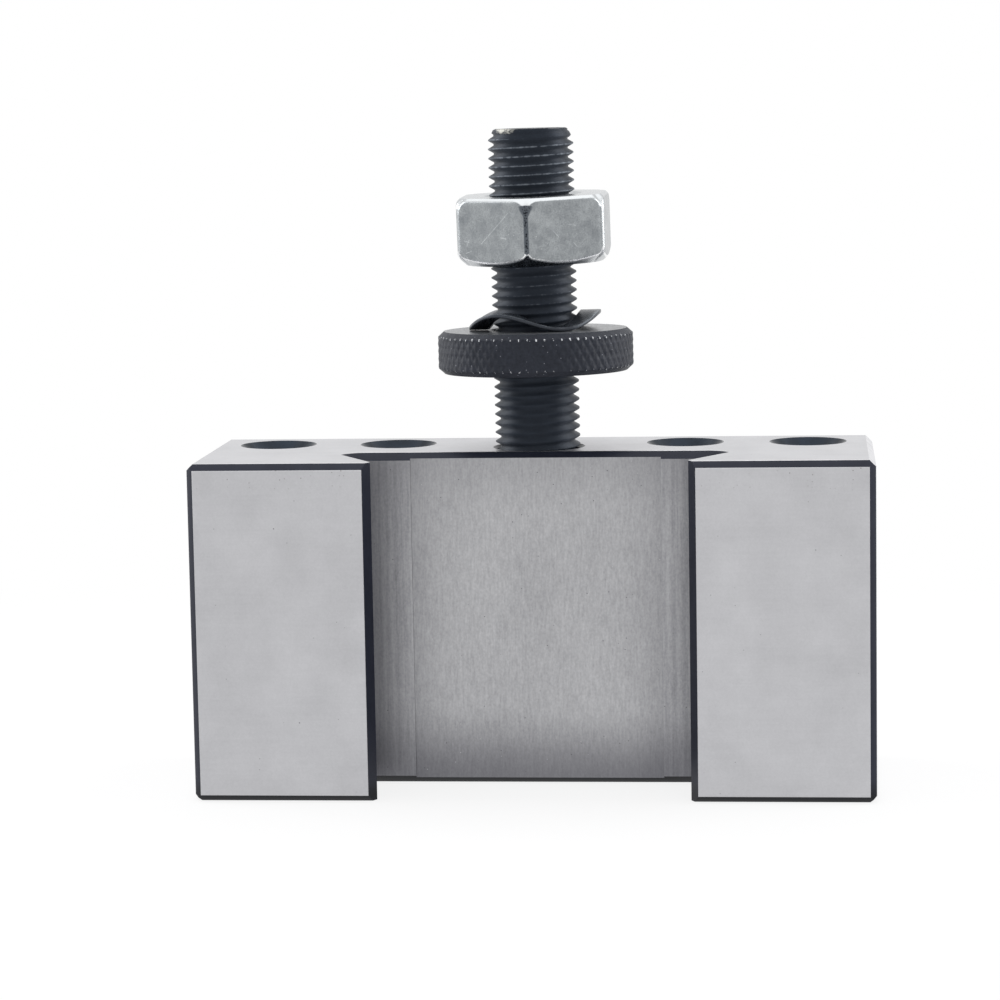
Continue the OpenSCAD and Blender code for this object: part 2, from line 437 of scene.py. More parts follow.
# Lands beside the ground strip: the same steel with longer lines, with painted shade towards its corners,
# top and foot, darkest under the dovetail
LAND_STEEL = Finish(
    name="planed_channel_lands", light="#c4c4c6", dark="#8f8f93", roughness=0.42,
    marks=(Marks((0.9, 0.9, 70), 0.5, 3), Marks((0.35, 0.35, 4), 0.35), Marks((0.3, 0.3, 0.45), 0.35)),
    relief_mm=0.002,
    covers=(
        PaintedShade("#5c5c62", Axis.ACROSS, 12, 27, 0.29),
        PaintedShade("#77777b", Axis.UP, 44, 55, 0.3),
        PaintedShade("#55555c", Axis.UP, 14, 1, 0.6),
        Specks("#5c5c60", 1.7, 0.22, 0.3),
    ),
)
# Hot black oxide on milled steel: blue-black and satin, between a metal and a glaze, with painted shade at
# the foot
BLACK_OXIDE = Finish(
    name="hot_black_oxide_steel", light="#2b2e3a", dark="#181b26", roughness=0.3, metallic=0.2,
    specular=0.2, marks=(Marks.even(4, 0.4), FINE_GRAIN), relief_mm=0.002,
    covers=(PaintedShade("#04060b", Axis.UP, 4, 0.8, 0.85),),
)
# The same oxide in the tapped holes: bluer and glossier, and darker as painted shade in the holes
OXIDE_HOLE = Finish(
    name="black_oxide_tapped_hole", light="#202b38", dark="#0d141c", roughness=0.2, metallic=0.6,
    specular=0.4, marks=(Marks.even(3, 0.6), FINE_GRAIN), relief_mm=0.004,
)
# The same oxide in the milled tool slot, over cutter marks that run along it
OXIDE_SLOT = Finish(
    name="milled_black_oxide_slot", light="#4a4b52", dark="#26272c", roughness=0.4, metallic=0.5,
    specular=0.3, marks=(Marks((12, 9, 9), 0.3), Marks((40, 0.7, 0.7), 0.5), Marks.even(0.3, 0.2)),
    relief_mm=0.006,
)
# Broken edge rubbed bright through the oxide, with a painted highlight on it: a thin light line along the
# front of the top face, and the end chamfers
WORN_EDGE_AND_HIGHLIGHT = Finish(
    name="rubbed_edge_and_painted_highlight", light="#e6e6e8", dark="#b4b4b8", roughness=0.35,
    marks=(Marks.even(2, 0.6), FINE_GRAIN), relief_mm=0.001,
)
# Rolled thread under black oxide: dark blue flanks, and crests painted grey here and there, as rubbed metal
# and painted highlight
OXIDE_THREAD = Finish(
    name="black_oxide_rolled_thread", light="#29303a", dark="#191e26", roughness=0.45, metallic=0.35,
    specular=0.2, marks=(Marks.even(3, 0.3), Marks.even(0.35, 0.3)), relief_mm=0.003,
    covers=(
        WearAndPaintedLight("#666c74", Mask.CREST, 0.45, 1.1, 0.9, 0.9),
        WearAndPaintedLight("#b4b3ac", Mask.BURR, 0.4, 0.75, 0.6, 0.9),
    ),
)
# Oxide on the socket screws, a little browner than the stud's
OXIDE_SCREW = Finish(
    name="black_oxide_alloy_screw", light="#36373c", dark="#1c1d21", roughness=0.38, metallic=0.3,
    specular=0.3, marks=(Marks.even(3, 0.35), Marks.even(0.35, 0.35)), relief_mm=0.004,
    covers=(WearAndPaintedLight("#85888d", Mask.CREST, 0.95, 1.35, 0.7, 1.0),),
)
# Knurled and oxided steel: matt diamonds, with bright specks where the knurl runs into the chamfers:
# painted glints on partly rubbed metal
OXIDE_KNURL = Finish(
    name="black_oxide_knurled_steel", light="#2b2f39", dark="#171a22", roughness=0.5, metallic=0.15,
    specular=0.25, marks=(Marks.even(2.5, 0.3), Marks.even(0.45, 0.7, 3)), relief_mm=0.03,
    covers=(Specks("#7d8088", 0.7, 0.2, 0.35), WearAndPaintedLight("#d8dade", Mask.TIP, 0.75, 1.2, 0.3, 1.7)),
)
# The same wheel's turned ends: smoother, and painted pale in patches as a painted sheen
OXIDE_TURNED = Finish(
    name="black_oxide_turned_steel", light="#3f4249", dark="#24262c", roughness=0.3, metallic=0.4,
    specular=0.5, marks=(Marks.even(2.5, 0.5), Marks.even(0.3, 0.4)), relief_mm=0.004,
    covers=(Specks("#c8cacd", 0.7, 0.2, 0.25), WearAndPaintedLight("#94979b", Mask.TURNED, 0.65, 1.55, 0.45, 1.0)),
)
# Blued spring strip: smooth and dark, its upper outer edge painted a little lighter as a painted highlight
BLUED_SPRING = Finish(
    name="blued_spring_strip", light="#41464e", dark="#24282f", roughness=0.28, metallic=0.5,
    specular=0.5, marks=(Marks.even(3, 0.4), FINE_GRAIN), relief_mm=0.002,
    covers=(WearAndPaintedLight("#8a9096", Mask.EDGE, 0.75, 1.3, 1.5, 0.6),),
)
# Zinc plate on a cold-formed nut: dull grey flats, rims and end faces painted bright as rubbed plating and
# painted highlight, foot arcs painted highlight, painted shade down the front corner and under the front
# rim
ZINC_PLATE = Finish(
    name="zinc_plated_cold_formed_steel", light="#a9adaf", dark="#777b7f", roughness=0.28,
    marks=(Marks.even(2.4, 0.8, 4), Marks.even(0.25, 0.5), Marks((0.5, 0.5, 1.2), 0.2)),
    relief_mm=0.003,
    covers=(
        Specks("#c9cccd", 0.9, 0.2, 0.3),
        WearAndPaintedLight("#bfc2c4", Mask.RIM, 0.35, 0.85, 0.5, 0.4),
        WearAndPaintedLight("#f6f7f8", Mask.FOOT, 0.3, 0.75, 0.4, 0.6),
        WearAndPaintedLight("#5b6066", Mask.GRIME, 0.35, 0.6, 0.8, 0.3),
        WearAndPaintedLight("#23262b", Mask.GRIME, 0.85, 1.2, 0.3, 1.0),
    ),
)


@dataclass(frozen=True)
class Thread:
    """ISO metric thread, right-handed, as rings of points that climb by one pitch in a turn.

    At height z the middle of a crest on the +X side lies half a pitch above each whole pitch.
    """

    diameter: float
    pitch: float
    # Share of a pitch by which the thread is moved up
    phase: float = 0.0
    # How steeply the turned point at the upper end widens
    point_slope: float = 1.0
    # How far a crest is rounded up from its flat, and the share of a pitch at which that starts
    crest_round: float = 0.03
    crest_from: float = 0.43
    # How deep a crest is painted bright, as rubbed metal and painted highlight, and how much an end may cut
    # off one that still counts
    wear_and_sheen_depth: float = 0.12
    cut_depth: float = 0.15
    # Whole pitches that the rings run on past each end
    spare: int = 2
    columns: int = 72
    # Places along one pitch, from the middle of a groove, where the profile bends
    steps: tuple[float, ...] = (0, 0.083, 0.25, 0.42, 0.45, 0.5, 0.55, 0.58, 0.75, 0.917)

    @property
    def depth(self) -> float:
        """Depth of an external thread with a rounded root."""
        return 0.6134 * self.pitch

    def radius(self, along: Array) -> Array:
        """Radius of the thread's surface.

        Args:
            along: heights in mm, each already less the climb of its column.

        Returns:
            Radii in mm.
        """
        off_groove = (0.5 - np.abs(along / self.pitch % 1 - 0.5)) * self.pitch
        root = self.diameter / 2 - self.depth
        # The root is flat for a twelfth of a pitch either way, and its flanks rise at 60 degrees
        flank = root + (off_groove - self.pitch / 12) * math.tan(math.radians(60))
        crest = self.crest_round * (off_groove > self.crest_from * self.pitch)
        return np.clip(flank, root, self.diameter / 2 - self.crest_round) + crest

    def climb(self) -> Array:
        """How far the thread has risen in each column."""
        return (np.arange(self.columns) / self.columns + self.phase)[None, :] * self.pitch

    def profile(self, heights: Array) -> Array:
        """Radius at each height, with each column's climb taken off."""
        return self.radius(heights - self.climb())

    def between(self, low: float, high: float) -> tuple[Array, Array, Array, Array]:
        """Lays rings along the thread, with some to spare past each end.

        Args:
            low: where the thread starts.
            high: where it ends.

        Returns:
            Four arrays of rings by columns: heights along the endless thread, the same kept between
            the ends, and how far a point is past the low and the high end, as a share of a pitch.
        """
        first = math.floor(low / self.pitch) - 1 - self.spare
        last = math.ceil(high / self.pitch) + self.spare
        rings = [(turn + step) * self.pitch for turn in range(first, last + 1) for step in self.steps]
        run = np.array(rings)[:, None] + self.climb()
        return run, np.clip(run, low, high), ramp(run, low, -self.pitch), ramp(run, high, self.pitch)

    def rod(self, low: float, high: float, low_end: float, high_end: float, hole: float = 0.0) -> "Rings":
        """Outside of a threaded rod, with its end faces.

        Args:
            low: height of the bottom face.
            high: height of the top face.
            low_end: radius of the bottom face, from which a 45 degree chamfer rises.
            high_end: radius of the top face.
            hole: radius that the top face stops at.

        Returns:
            Rings from the middle of the bottom face to the middle or hole of the top face.
        """
        run, height, below, above = self.between(low, high)
        profile = self.profile(run)
        point = high_end + (high - height) * self.point_slope
        side = np.minimum(profile, np.minimum(low_end + height - low, point))
        radius = np.where(above > 0, high_end + (hole - high_end) * above, side)
        radius = np.where(below > 0, low_end * (1 - below), radius)
        crest = ramp(profile, self.diameter / 2 - self.wear_and_sheen_depth, self.wear_and_sheen_depth)
        whole = radius > profile - self.cut_depth
        return Rings(radius, height, len(self.steps), {Mask.CREST: crest * whole})

    def bore(self, low: float, high: float, mouth: float, wall: float) -> "Rings":
        """Inside of a tapped hole, as a closed sleeve whose outside lies in the wall.

        Args:
            low: height of the lower end.
            high: height of the upper end.
            mouth: radius at both ends, from which a 45 degree countersink runs in.
            wall: radius of the sleeve's outside.

        Returns:
            Rings from the outside of the lower end, up the thread, to the outside of the upper end.
        """
        run, height, below, above = self.between(low, high)
        side = np.maximum(self.profile(run), mouth - np.minimum(height - low, high - height))
        past = np.maximum(below, above)
        return Rings(np.where(past > 0, mouth + (wall - mouth) * past, side), height, len(self.steps))


@dataclass
class Rings:
    """Grid of points round an axis: one row for each ring, one column for each direction."""

    radius: Array
    height: Array
    # How many rings the surface climbs in one turn
    climb: int = 0
    # Values that the finishes read, each an array of the same shape
    masks: dict[Mask, Array] = field(default_factory=dict)

    def faces(self, start: int, inward: bool) -> list[tuple[int, ...]]:
        """Joins the rings to a skin.

        Args:
            start: number of the first point.
            inward: True if the skin faces the axis.

        Returns:
            Quads of point numbers.
        """
        rows, columns = self.radius.shape
        made = []
        for row in range(rows - 1 - self.climb):
            for column in range(columns):
                turned = column == columns - 1
                beside = (row + self.climb * turned) * columns + (0 if turned else column + 1)
                here = row * columns + column
                quad = (here, beside, beside + columns, here + columns)
                made.append(tuple(start + point for point in (quad[::-1] if inward else quad)))
        return made

    def points(self, centre: Vector) -> Array:
        """Places of the points round an upright axis.

        Args:
            centre: a point on the axis, in metres.

        Returns:
            One row of X, Y and Z for each point, in metres.
        """
        columns = self.radius.shape[1]
        angle = np.arange(columns) * TURN / columns
        x = centre.x + self.radius * np.cos(angle) * MM
        y = centre.y + self.radius * np.sin(angle) * MM
        return np.stack([x, y, self.height * MM], -1).reshape(-1, 3)

    def capped(
        self, below: list[tuple[float, float]], above: list[tuple[float, float]], marked: Mask
    ) -> "Rings":
        """Adds round rings before and after these.

        Args:
            below: radius and height of each ring before the first one.
            above: the same after the last one.
            marked: the mask that is 1 on the added rings; the others are 0 there.

        Returns:
            All the rings.
        """
        columns = self.radius.shape[1]
        runs = (plain_rings(below, columns), self, plain_rings(above, columns))
        around = ((len(below), len(above)), (0, 0))
        masks = {
            mask: np.pad(values, around, constant_values=float(mask is marked))
            for mask, values in self.masks.items()
        }
        radius = np.concatenate([run.radius for run in runs])
        return Rings(radius, np.concatenate([run.height for run in runs]), self.climb, masks)


def plain_rings(profile: list[tuple[float | Array, float]], columns: int) -> Rings:
    """Rings for a meridian whose radii may differ from one direction to the next.

    Args:
        profile: radius, as one number or one for each column, and height of each ring.
        columns: number of directions.

    Returns:
        The rings, in the order of the profile.
    """
    radius = np.array([np.broadcast_to(np.asarray(r, float), columns) for r, _ in profile])
    height = np.array([np.full(columns, z, float) for _, z in profile])
    return Rings(radius, height)


@dataclass
class Shell:
    """Mesh of one piece while it is put together from skins."""

    name: str
    # A point on the piece's upright axis, in metres
    centre: Vector
    skins: list[Rings] = field(default_factory=list)
    faces: list[tuple[int, ...]] = field(default_factory=list)

    def add(self, rings: Rings, inward: bool = False) -> None:
        """Adds a skin; those that share a ring of points are welded together later.

        Args:
            rings: the skin's points.
            inward: True if it faces the axis.
        """
        start = sum(skin.radius.size for skin in self.skins)
        self.faces += rings.faces(start, inward)
        self.skins.append(rings)

    def paint(self, mesh: bpy.types.Mesh) -> None:
        """Writes the skins' masks on the mesh, with 0 where a skin has none.

        Args:
            mesh: the mesh, with all the skins' points in order.
        """
        used = {mask for skin in self.skins for mask in skin.masks}
        for mask in sorted(used, key=lambda mask: mask.value):
            values = [skin.masks.get(mask, np.zeros(skin.radius.shape)).ravel() for skin in self.skins]
            layer = mesh.attributes.new(mask.value, "FLOAT", "POINT")
            layer.data.foreach_set("value", np.concatenate(values))

    def mesh(self) -> bpy.types.Mesh:
        """Welds the skins to one mesh.

        Returns:
            The mesh, with its masks.
        """
        mesh = bpy.data.meshes.new(self.name)
        points = np.concatenate([skin.points(self.centre) for skin in self.skins])
        mesh.from_pydata(points.tolist(), [], self.faces)
        self.paint(mesh)
        work = bmesh.new()
        work.from_mesh(mesh)
        bmesh.ops.remove_doubles(work, verts=work.verts, dist=WELD * MM)
        loose = [point for point in work.verts if not point.link_faces]
        bmesh.ops.delete(work, geom=loose, context="VERTS")
        work.to_mesh(mesh)
        work.free()
        return mesh

    def build(self, sharp_deg: float = 35.0) -> bpy.types.Object:
        """Makes the object.

        Args:
            sharp_deg: edges that turn more than this stay crisp.

        Returns:
            The new object, linked to the scene.
        """
        return shown(self.name, self.mesh(), sharp_deg)


def shown(name: str, mesh: bpy.types.Mesh, sharp_deg: float) -> bpy.types.Object:
    """Shades a mesh and puts it in the scene.

    Args:
        name: name of the piece.
        mesh: its mesh.
        sharp_deg: edges that turn more than this stay crisp.

    Returns:
        The new object.
    """
    mesh.shade_smooth()
    mesh.set_sharp_from_angle(angle=math.radians(sharp_deg))
    piece = bpy.data.objects.new(name, mesh)
    bpy.context.scene.collection.objects.link(piece)
    return piece


def centre_of(node: str) -> Vector:
    """Middle of a node's box, in metres."""
    low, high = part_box(node)
    return (Vector(low) + Vector(high)) / 2


def span_of(node: str) -> tuple[float, float]:
    """Lowest and highest height of a node, in millimetres."""
    low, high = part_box(node)
    return low[2] / MM, high[2] / MM


@dataclass(frozen=True)
class Slack:
    """How a piece on the stud sits a little askew in its thread, and leans with the stud."""

    # Tipped to the left, and forward with the rear edge up
    tip_deg: float = 0.0
    nod_deg: float = 0.0
    shift: tuple[float, float, float] = (0.0, 0.0, 0.0)
    # The stud's own lean to the left, which every piece on it shares
    lean_deg: float = 0.56

    def matrix(self, pivot: Vector) -> Matrix:
        """Works out the small move.

        Args:
            pivot: the point that the piece tips about, in metres.

        Returns:
            The move, which ends with the lean about the stud's foot.
        """
        tip = Matrix.Rotation(math.radians(-self.tip_deg), 4, "Y")
        nod = Matrix.Rotation(math.radians(self.nod_deg), 4, "X")
        aside = Matrix.Translation(Vector(self.shift) * MM)
        own = Matrix.Translation(pivot) @ aside @ tip @ nod @ Matrix.Translation(-pivot)
        foot = centre_of("height_stud")
        foot.z = span_of("height_stud")[0] * MM
        lean = Matrix.Rotation(math.radians(-self.lean_deg), 4, "Y")
        return Matrix.Translation(foot) @ lean @ Matrix.Translation(-foot) @ own


def settle(piece: bpy.types.Object, node: str, body: str, slot: str, *finishes: Finish) -> None:
    """Puts a finished piece in the place of its node and reports it.

    Args:
        piece: the new object.
        node: node that it stands for.
        body: body that it moves with.
        slot: material slot in the record; not used.
        finishes: finishes for its material slots, in order.
    """
    for finish in finishes:
        piece.data.materials.append(finish.material())
    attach(piece, body)
    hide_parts(node)
    LOG.info("%s: %d faces, stands for %s on %s", piece.name, len(piece.data.polygons), node, body)


@dataclass
class HolderBlock:
    """The milled and ground block, with broken edges and tapped holes."""

    node: str = "holder_body"
    # Points of the solid this near are one point, and facets that turn less than this are one face
    weld: float = 0.001
    flat_deg: float = 0.3
    # Width of the broken edge round each ground face, where it meets a chamfer at more than this angle
    broken_edge: float = 0.07
    broken_deg: float = 17.0
    # A face this near to the block's box lies on it
    touch: float = 0.01
    # Share of its normal that a face has along an axis: square to it, facing it, sloping, or edge on
    square: float = 0.999
    facing: float = 0.9
    sloping: float = 0.5
    edge_on: float = 0.01
    # Half widths of the channel and of the ground strip in the middle of its floor
    channel_half: float = 34.0
    strip_half: float = 20.5
    # How far behind the pads the channel's own faces start
    lip_depth: float = 2.05
    # Middle height and half height of the zone of the tool slot
    slot_middle: float = 24.0
    slot_half: float = 12.0
    # Edges are painted bright, as rubbed steel and painted highlight, this far below the top in front, and
    # this near to the block's ends
    worn_and_highlit_depth: float = 0.2
    worn_and_highlit_end: float = 2.0
    # The tapped holes, a little wider than the screws, from the slot up to the countersinks
    hole_thread: Thread = Thread(10.12, 1.5)
    hole_low: float = 35.05
    hole_high: float = 53.65
    hole_mouth: float = 5.05
    # Outside of the threaded skin, hidden in the wall
    skin_radius: float = 5.3
    # What lies nearer to a screw's axis belongs to its hole, from this far below its thread
    hole_reach: float = 6.6
    hole_below: float = 1.0
    # Faces larger than this, in square millimetres, are flat ones
    wide_area: float = 100.0
    sharp_deg: float = 20.0

    def on_end_chamfer(self, face: bmesh.types.BMFace, high: Vector) -> bool:
        """Says whether a face slopes from the top down to an end of the block.

        Args:
            face: a face of the block.
            high: highest corner of the block, in millimetres.

        Returns:
            True if it does.
        """
        at_end = abs(face.calc_center_median().x) / MM > high.x - self.worn_and_highlit_end
        return at_end and min(abs(face.normal.x), face.normal.z) > self.sloping

    def kind(self, face: bmesh.types.BMFace, low: Vector, high: Vector, holes: list[Vector]) -> Face:
        """Tells how a face of the block was finished, from its place and direction.

        Args:
            face: a face of the block.
            low: lowest corner of the block, in millimetres.
            high: its highest corner.
            holes: a point on the axis of each tapped hole.

        Returns:
            The kind of surface.
        """
        normal = face.normal
        middle = face.calc_center_median() / MM
        flat = max(abs(part) for part in normal) > self.square
        off_box = min(abs(part - edge) for part, *edges in zip(middle, low, high) for edge in edges)
        if flat and off_box < self.touch:
            return Face.GROUND
        upright = abs(normal.z) < self.edge_on
        in_channel = abs(middle.x) < self.channel_half and low.y + self.lip_depth < middle.y < 0
        if upright and in_channel:
            on_strip = abs(middle.x) < self.strip_half and abs(normal.y) > self.facing
            return Face.CHANNEL if on_strip else Face.LAND
        if middle.y > 0 and flat and abs(middle.z - self.slot_middle) < self.slot_half:
            return Face.SLOT
        near_hole = any((middle - hole).xy.length < self.hole_reach for hole in holes)
        if near_hole and middle.z > self.hole_low - self.hole_below:
            return Face.HOLE
        # End chamfers are painted bright, as rubbed steel and painted highlight
        return Face.WORN_AND_HIGHLIT if self.on_end_chamfer(face, high) else Face.OXIDE

    def is_broken(self, edge: bmesh.types.BMEdge) -> bool:
        """Says whether an edge lies between a ground face and a chamfer.

        Args:
            edge: an edge of the block.

        Returns:
            True if it does.
        """
        kinds = {face.material_index for face in edge.link_faces}
        bent = edge.calc_face_angle(0) > math.radians(self.broken_deg)
        return bent and kinds == {Face.GROUND.value, Face.OXIDE.value}

    def block(self) -> bmesh.types.BMesh:
        """Copies the solid's faces, marks their finish and breaks the edges round the ground ones.

        Returns:
            The mesh being edited.
        """
        work = bmesh.new()
        work.from_mesh(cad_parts[self.node].data)
        bmesh.ops.remove_doubles(work, verts=work.verts, dist=self.weld * MM)
        bmesh.ops.dissolve_limit(
            work, angle_limit=math.radians(self.flat_deg), verts=work.verts, edges=work.edges, delimit=set()
        )
        low, high = (Vector(corner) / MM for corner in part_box(self.node))
        holes = [centre_of(f"clamp_screw_{number}") / MM for number in SCREWS]
        for face in work.faces:
            face.material_index = self.kind(face, low, high, holes).value
        bmesh.ops.bevel(
            work, geom=[edge for edge in work.edges if self.is_broken(edge)],
            offset=self.broken_edge * MM, offset_type="OFFSET", segments=2, profile=0.5,
            affect="EDGES", clamp_overlap=False, material=Face.WORN_AND_HIGHLIT.value,
        )
        # Of the broken edges, only the front ones of the top face are painted as bright as its end
        # chamfers, as rubbed steel and painted highlight
        for face in work.faces:
            at_top = face.calc_center_median().z / MM > high.z - self.worn_and_highlit_depth
            wear_and_sheen = (at_top and face.normal.y < -0.1) or self.on_end_chamfer(face, high)
            if face.material_index == Face.WORN_AND_HIGHLIT.value and not wear_and_sheen:
                face.material_index = Face.GROUND.value
        return work

    def tap(self, work: bmesh.types.BMesh) -> None:
        """Adds a threaded skin in each tapped hole.

        Args:
            work: the block's mesh being edited.
        """
        thread = self.hole_thread.bore(self.hole_low, self.hole_high, self.hole_mouth, self.skin_radius)
        for number in SCREWS:
            shell = Shell(f"tapped_hole_{number}", centre_of(f"clamp_screw_{number}"))
            shell.add(thread, inward=True)
            skin = shell.mesh()
            skin.polygons.foreach_set("material_index", [Face.HOLE.value] * len(skin.polygons))
            work.from_mesh(skin)

    def flatten(self, mesh: bpy.types.Mesh) -> None:
        """Shades the wide faces flat, so that only the rounded ones and the broken edges curve.

        Args:
            mesh: the block's mesh.
        """
        corners = [corner.vector.copy() for corner in mesh.corner_normals]
        normals = []
        for face in mesh.polygons:
            wide = face.area > self.wide_area * MM**2
            normals += [face.normal.copy() if wide else corners[corner] for corner in face.loop_indices]
        mesh.normals_split_custom_set(normals)

    def build(self) -> bpy.types.Object:
        """Makes the block and cuts the threads of its four tapped holes.

        Returns:
            The dressed piece.
        """
        work = self.block()
        self.tap(work)
        mesh = bpy.data.meshes.new("ground_block")
        work.to_mesh(mesh)
        work.free()
        # The copy would keep the solid's own shading, which no longer fits its edges
        for layer in [layer for layer in mesh.attributes if layer.name == "custom_normal"]:
            mesh.attributes.remove(layer)
        piece = shown("ground_block", mesh, self.sharp_deg)
        self.flatten(piece.data)
        settle(
            piece, self.node, "holder", "ground_steel",
            GROUND_STEEL, CHANNEL_STEEL, LAND_STEEL, BLACK_OXIDE, OXIDE_SLOT, WORN_EDGE_AND_HIGHLIGHT, OXIDE_HOLE,
        )
        return piece


@dataclass
class HeightStud:
    """M14 x 1.5 stud with a rolled helical thread and a turned point at each end."""

    node: str = "height_stud"
    thread: Thread = Thread(14.0, 1.5, phase=0.33, point_slope=0.5)
    low_radius: float = 6.0
    high_radius: float = 6.05
    # How bright the crests are painted at each of these heights, as rubbed metal and painted highlight
    wear_and_sheen_at: tuple[float, ...] = (40.0, 46.0, 60.0, 84.0, 98.0)
    wear_and_sheen: tuple[float, ...] = (0.8, 0.3, 0.25, 0.5, 0.85)
    # The burr on the top edge: its direction, its spread, its depth and the radius where it starts
    burr_deg: float = 230.0
    burr_spread_deg: float = 26.0
    burr_depth: float = 1.4
    burr_inner: float = 5.8
    # How far the worn flanks are shaded like a plain rod; 0 would be crisp
    evenness: float = 0.7
    # Upright share of its normal from which a face belongs to an end
    end_on: float = 0.95

    def burr(self, rod: Rings) -> Array:
        """How far the metal is bruised bright along the top edge.

        Args:
            rod: the stud's rings.

        Returns:
            Shares from 0 to 1, rings by columns.
        """
        turned = np.arange(self.thread.columns)[None, :] * 360 / self.thread.columns
        near = np.exp(-(((turned - self.burr_deg) / self.burr_spread_deg) ** 2))
        start = rod.height.max() - self.burr_depth
        return near * ramp(rod.height, start, self.burr_depth) * (rod.radius > self.burr_inner)

    def soften(self, mesh: bpy.types.Mesh) -> None:
        """Turns the shading of the flanks towards a plain rod's, as worn and oily flanks look.

        Args:
            mesh: the stud's mesh.
        """
        centre = centre_of(self.node)
        normals = []
        for face in mesh.polygons:
            is_end = abs(face.normal.z) > self.end_on
            for number in face.vertices:
                point = mesh.vertices[number]
                out = Vector((point.co.x - centre.x, point.co.y - centre.y, 0)).normalized()
                normals.append(face.normal if is_end else point.normal.lerp(out, self.evenness))
        mesh.normals_split_custom_set(normals)

    def build(self) -> bpy.types.Object:
        """Makes the stud.

        Returns:
            The dressed piece.
        """
        low, high = span_of(self.node)
        rod = self.thread.rod(low, high, self.low_radius, self.high_radius)
        # The nut has rubbed the upper turns, and the crests there get a painted highlight too; the wheel's
        # thread below is hardly touched
        rod.masks[Mask.CREST] *= np.interp(rod.height, self.wear_and_sheen_at, self.wear_and_sheen)
        rod.masks[Mask.BURR] = self.burr(rod)
        shell = Shell("threaded_stud", centre_of(self.node))
        shell.add(rod)
        piece = shell.build()
        self.soften(piece.data)
        piece.data.transform(Slack().matrix(centre_of(self.node)))
        settle(piece, self.node, "holder", "black_oxide_steel", OXIDE_THREAD)
        return piece


